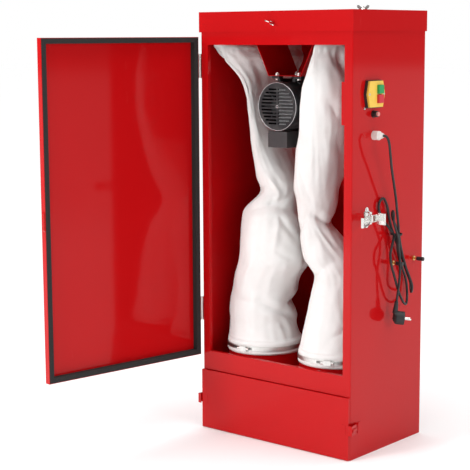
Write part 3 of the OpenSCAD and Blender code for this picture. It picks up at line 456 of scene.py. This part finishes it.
foam = Finish("foam", Roughness=0.9, Specular_IOR_Level=0.25)
foam_cells = foam.place.node("ShaderNodeTexVoronoi", "Distance", {"Vector": foam.place, "Scale": 1400.0})
foam.feed("Base Color", foam_cells.mix(colour(0.012, 0.012, 0.013), colour(0.045, 0.044, 0.043)))
foam.relief(foam_cells, 0.0004)
dress(foam, "foam_seal", "door_gasket")

# ---------------------------------------------------------------- filter bags
# Two tubes of white needled felt, sewn up one side and hemmed at both ends. The lower hem is
# clamped on a collar, the top hem is drawn flat over a rod, and the slack cloth sags and kinks.
felt = Finish("felt", Roughness=0.92, Sheen_Weight=0.08, Specular_IOR_Level=0.2)
felt_fuzz = felt.place.grain(0.0014, 3, 0.7)
felt_weave = {"Vector": felt.place, "Scale": 420.0, "Distortion": 1.5}
felt_thread = felt.place.node("ShaderNodeTexWave", 1, felt_weave, bands_direction="Z")
felt_grime = felt.place.grain(0.09, 5, 0.6).between(0.48, 0.8)
felt.feed("Base Color", (0.55 * felt_grime).mix(colour(0.87, 0.865, 0.85), colour(0.74, 0.725, 0.70)))
felt.relief(0.6 * felt_fuzz + 0.4 * felt_thread, 0.0005)

sewing_thread = Finish("sewing_thread", Roughness=0.7)
thread_shade = sewing_thread.place.grain(0.002, 2)
sewing_thread.feed("Base Color", thread_shade.mix(colour(0.70, 0.69, 0.66), colour(0.84, 0.83, 0.80)))

# The bag's stations going up, in millimetres: height, middle x, middle y, half width, half depth,
# turn in degrees, squareness, and how far the front edge is drawn to the left.
left_bag_shape = [
    (243, -133, -50, 112.6, 112.6, 0, 2, 0), (272, -133, -50, 112.6, 112.6, 0, 2, 0),
    (289, -136, -50, 107, 105, 0, 2, 0), (330, -142, -51, 101, 99, 0, 2, 0),
    (370, -143, -52, 100, 98, 0, 2, 0),
    (423, -138, -50, 96, 95, 0, 2, 0), (475, -121, -50, 101, 99, 0, 2, 0),
    (516, -99, -50, 107, 104, 0, 2, 0),
    (570, -101, -50, 101, 99, 0, 2, 0), (625, -109, -48, 91, 89, 0, 2, 0), (662, -117, -45, 82, 79, 0, 2, 0),
    (686, -113, -35, 68, 72, 0, 2, 0), (720, -100, -20, 55, 62, 0, 2, 0), (763, -110, -15, 60, 77, 0, 2, 0),
    (834, -130.3, -10, 36, 88, 0, 2.3, 0), (912, -141.3, -6, 20, 96, 0, 3, 0),
    (994, -149.7, -4, 13, 103, 0, 3, 0), (1032, -148.3, -5, 14, 106, -3, 3, 6),
    (1064, -149.7, -6, 15, 112, -7, 3, 18), (1108, -152, -8, 14, 132, -13, 3, 46),
    (1141, -179.6, -9, 12, 146, -16, 3, 34), (1150, -194, -10, 8, 148, -17, 3, 10),
]
right_bag_shape = [
    (243, 133, -50, 112.6, 112.6, 0, 2, 0), (272, 133, -50, 112.6, 112.6, 0, 2, 0),
    (289, 133, -50, 107, 106, 0, 2, 0), (349, 134, -50, 96, 97, 0, 2, 0), (390, 135, -50, 88, 90, 0, 2, 0),
    (433, 136, -50, 81, 84, 0, 2, 0), (497, 138, -50, 69, 72, 0, 2, 0), (537, 108, -50, 76, 74, 0, 2, 0),
    (586, 82, -50, 66, 68, 0, 2, 0), (640, 52, -50, 47, 48, 0, 2, 0), (699, 56, -50, 59, 60, 0, 2, 0),
    (746, 65, -64, 66, 68, 0, 2, 3), (800, 82, -64, 62, 79, 0, 2.4, 8), (854, 102, -62, 61, 88, 0, 3, 16),
    (921, 127, -62, 54, 97, 0, 3.2, 30), (987, 134, -62, 54, 101, 0, 3.2, 34),
    (1033, 138, -57, 50, 105, 0, 3.2, 34), (1076, 147, -40, 38, 119, -3, 3, 31),
    (1112, 158, -18, 24, 136, -7, 3, 30), (1141, 171, 2, 13, 148, -11, 3, 30),
    (1150, 174, 4, 8, 150, -11, 3, 30),
]


def shape_at(shape, height):
    """The bag's measures at a height, eased between the stations on each side."""
    top = next((i for i, s in enumerate(shape) if s[0] >= height), len(shape) - 1)
    i = max(top - 1, 0)
    near = [shape[min(max(k, 0), len(shape) - 1)] for k in (i - 1, i, i + 1, i + 2)]
    t = min(max((height - near[1][0]) / max(near[2][0] - near[1][0], 1e-6), 0), 1)
    if near[0] == near[1] or near[2] == near[3]:
        return [b + (c - b) * t for _, b, c, _ in zip(*near)]
    return [eased(a, b, c, d, t) for a, b, c, d in zip(*near)]


def on_bag(shape, bearing, height):
    """A point of the bag's skin, in millimetres, and the direction out of the cloth there."""
    _, x, y, wide, deep, turn, square, drawn = shape_at(shape, height)
    c, s = math.cos(bearing), math.sin(bearing)
    front = math.copysign(abs(s) ** (2 / square), s)
    px = wide * math.copysign(abs(c) ** (2 / square), c) - drawn * (max(0, -front - 0.25) / 0.75) ** 1.8
    py = deep * front
    t = math.radians(turn)
    place = Vector((x + px * math.cos(t) - py * math.sin(t), y + px * math.sin(t) + py * math.cos(t), height))
    out = Vector((c / wide, s / deep, 0)).normalized()
    return place, Matrix.Rotation(t, 3, "Z") @ out


def ramp(value, low, high):
    """0 below low, 1 above high, smooth in between."""
    t = min(max((value - low) / (high - low), 0), 1)
    return t * t * (3 - 2 * t)


def band(height, rise, fall):
    """1 between two heights, easing in over the first span and out over the second."""
    return ramp(height, *rise) * (1 - ramp(height, *fall))


# The skin is a grid of this many columns round the bag and rows up it. Lengths round the bag are
# taken at a mean radius. Spans of height are in millimetres, as the stations are.
columns = 128
rows = 190
mean_radius = 95
slack_span = ((276, 330), (1110, 1146))
lower_gathers = ((268, 284), (290, 400))
upper_gathers = ((960, 1120), (1130, 1149))
hem_fold = ((243, 244.5), (251.5, 253))
clamp_height = 261
clamp_grip = 6.5


def crease(bearing, height, start, end, width, depth):
    """How far a fold line pulls the cloth in. It runs from start to end, each a bearing in degrees
    and a height."""
    a = Vector((math.radians(start[0]) * mean_radius, start[1]))
    b = Vector((math.radians(end[0]) * mean_radius, end[1]))
    halfway = math.radians((start[0] + end[0]) / 2)
    turned = (bearing - halfway + math.pi) % math.tau - math.pi
    p = Vector(((turned + halfway) * mean_radius, height))
    along = min(max((p - a).dot(b - a) / (b - a).length_squared, 0), 1)
    away = (p - a - (b - a) * along).length / width
    fade = 1 - 0.7 * abs(2 * along - 1) ** 2
    return depth * fade * (math.exp(-1.35 * away) - 0.3 * math.exp(-(away - 1.8) ** 2))


def cloth_push(bearing, height, creases, seam_bearing, seed):
    """How far the cloth stands out from the bag's plain skin, in millimetres, at one place."""
    slack = band(height, *slack_span)
    wobble = Vector((math.cos(bearing) * 2.2, math.sin(bearing) * 2.2, height / 70 + seed))
    push = 3.0 * slack * noise.noise(wobble) + 1.2 * slack * noise.noise(wobble * 2.3)
    push += 1.0 * band(height, *lower_gathers) * math.sin(17 * bearing + 2.5 * math.sin(3 * bearing + seed))
    push += 1.3 * band(height, *upper_gathers) * math.sin(11 * bearing + 2 * math.sin(2 * bearing + seed))
    push += 0.9 * band(height, *hem_fold)
    push -= 1.6 * math.exp(-((height - clamp_height) / clamp_grip) ** 2)
    from_seam = ((bearing - seam_bearing + math.pi) % math.tau) - math.pi
    push += 1.3 * (1 - ramp(abs(from_seam) * mean_radius, 5.5, 7)) * slack
    return push - slack * sum(crease(bearing, height, *fold) for fold in creases)


def sew_bag(name, shape, creases, seam_bearing, seed):
    """The bag's skin as a grid with its folds, slackened by a cloth simulation between its hems."""
    low = shape[0][0]
    high = shape[-1][0]
    skin = bmesh.new()
    grid = []
    for r in range(rows + 1):
        height = low + (high - low) * r / rows
        ring = []
        for k in range(columns):
            bearing = math.tau * k / columns
            place, out = on_bag(shape, bearing, height)
            push = cloth_push(bearing, height, creases, seam_bearing, seed)
            ring.append(skin.verts.new((place + out * push) / 1000))
        grid.append(ring)
    for r in range(rows):
        for k in range(columns):
            n = (k + 1) % columns
            skin.faces.new((grid[r][k], grid[r][n], grid[r + 1][n], grid[r + 1][k]))
    mesh = bpy.data.meshes.new(name)
    skin.to_mesh(mesh)
    skin.free()
    bag = add_piece(name, mesh, felt, "cabinet")
    settle(bag)
    return bag


# Both hems are held over these shares of the bag's height, and no point moves further than this.
held_below = 0.045
held_above = 0.985
lightly_held = 0.10
settle_frames = 16
furthest_move = 0.0045


def settle(bag):
    """Lets the slack cloth buckle. The skin is cut a little too large, and its hems are held."""
    held = bag.vertex_groups.new(name="held")
    for r in range(rows + 1):
        at_hem = r <= rows * held_below or r >= rows * held_above
        held.add(range(r * columns, (r + 1) * columns), 1.0 if at_hem else lightly_held, "REPLACE")
    rest = [v.co.copy() for v in bag.data.vertices]
    cloth = bag.modifiers.new("cloth", "CLOTH")
    cloth.settings.quality = 5
    cloth.settings.mass = 0.25
    cloth.settings.tension_stiffness = 18
    cloth.settings.compression_stiffness = 18
    cloth.settings.shear_stiffness = 8
    cloth.settings.bending_stiffness = 0.6
    cloth.settings.shrink_min = -0.035
    cloth.settings.vertex_group_mass = "held"
    cloth.settings.pin_stiffness = 1.0
    cloth.collision_settings.use_collision = False
    cloth.point_cache.frame_start = 1
    cloth.point_cache.frame_end = settle_frames
    for step in range(1, settle_frames + 1):
        bpy.context.scene.frame_set(step)
    settled = bag.evaluated_get(bpy.context.evaluated_depsgraph_get()).to_mesh()
    found = [v.co.copy() for v in settled.vertices]
    bag.modifiers.remove(cloth)
    bpy.context.scene.frame_set(1)
    for vertex, start, end in zip(bag.data.vertices, rest, found):
        move = end - start
        vertex.co = start + move * min(1, furthest_move / max(move.length, 1e-9))
    bag.vertex_groups.clear()


thread_radius = 0.00038
stitch_length = 0.0075
cloth_thickness = 0.0022


def stitches(line):
    """Cuts a line of points into short stitches with a gap after each."""
    runs = []
    stitch = [line[0]]
    covered = 0.0
    for a, b in zip(line, line[1:]):
        covered += (b - a).length
        stitch.append(b)
        if covered > stitch_length:
            first = stitch[0]
            last = stitch[-1]
            runs.append([first.lerp(last, 0.12), stitch[len(stitch) // 2], first.lerp(last, 0.88)])
            stitch = [b]
            covered = 0.0
    return runs


def finish_bag(bag, seam_bearing, node):
    """Stitches along the side seam and the hems, then the cloth's thickness."""
    points = [v.co.copy() for v in bag.data.vertices]
    normals = [v.normal.copy() for v in bag.data.vertices]
    seam_column = round(seam_bearing / math.tau * columns) % columns

    def over_skin(row, column, lift):
        i = row * columns + column % columns
        return points[i] + normals[i] * lift

    runs = []
    for side in (-1, 1):
        runs += stitches([over_skin(r, seam_column + side, 0.0004) for r in range(3, rows - 3)])
    for row in (1, 5, rows - 8):
        runs += stitches([over_skin(row, k, 0.0005) for k in range(columns + 1)])
    sewing = line_curve(bag.name + "_stitches", runs, thread_radius, 1)
    add_piece(bag.name + "_stitches", sewing, sewing_thread, "cabinet")
    for polygon in bag.data.polygons:
        polygon.use_smooth = True
    wall = bag.modifiers.new("wall", "SOLIDIFY")
    wall.thickness = cloth_thickness
    wall.offset = -1
    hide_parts(node)


# Each crease: from bearing and height, to bearing and height, width, depth.
left_creases = [
    ((-118, 664), (-20, 702), 13, 11), ((-150, 700), (-95, 742), 16, 7), ((-62, 690), (30, 655), 12, 9),
    ((-112, 404), (-57, 398), 11, 5), ((-57, 398), (-14, 366), 12, 12), ((-14, 366), (16, 334), 12, 12),
    ((0, 392), (60, 388), 20, 20), ((-36, 655), (-52, 560), 9, -6), ((-36, 655), (-8, 590), 10, 7),
    ((-52, 560), (-20, 530), 10, 5), ((-92, 560), (-98, 420), 12, -4), ((-50, 520), (-46, 420), 10, -3),
    ((4, 560), (24, 440), 14, 9), ((-80, 330), (-60, 300), 10, 3), ((-20, 345), (-6, 292), 9, 5),
    ((-75, 780), (-40, 690), 11, -5), ((-20, 1080), (-5, 860), 22, 5),
]
right_creases = [
    ((-120, 500), (-40, 548), 12, 8), ((-66, 672), (5, 636), 12, 11), ((5, 636), (45, 646), 14, 13),
    ((-150, 610), (-90, 655), 12, 6), ((-30, 1132), (-12, 1068), 12, 10), ((-40, 1000), (-15, 940), 16, 6),
    ((-95, 905), (-80, 1010), 14, 3), ((-66, 330), (-20, 372), 10, 4), ((-20, 900), (10, 800), 15, 6),
    ((-110, 560), (-60, 600), 12, 5), ((-36, 470), (-28, 300), 10, -4), ((-12, 380), (0, 290), 10, 6),
    ((-50, 640), (-30, 560), 10, -5), ((-100, 800), (-70, 720), 13, 4),
]
left_seam = math.radians(-150)
right_seam = math.radians(-125)
left_bag = sew_bag("left_filter_bag", left_bag_shape, left_creases, left_seam, 1.7)
finish_bag(left_bag, left_seam, "bag_left")
right_bag = sew_bag("right_filter_bag", right_bag_shape, right_creases, right_seam, 6.1)
finish_bag(right_bag, right_seam, "bag_right")


def flat_cut(shape):
    """Girth at the lower and the upper hem and the drop along the bag: the tapered tube it was cut as."""
    girths = []
    for height in (shape[0][0], shape[-1][0]):
        ring = [on_bag(shape, math.tau * k / 64, height)[0] for k in range(65)]
        girths.append(sum((b - a).length for a, b in zip(ring, ring[1:])) / 1000)
    middles = [Vector((s[1], s[2], s[0])) for s in shape]
    drop = sum((b - a).length for a, b in zip(middles, middles[1:]))
    return girths[0], girths[1], drop / 1000


for bag, shape in ((left_bag, left_bag_shape), (right_bag, right_bag_shape)):
    lower, upper, drop = flat_cut(shape)
    drop * (lower + upper) / 2
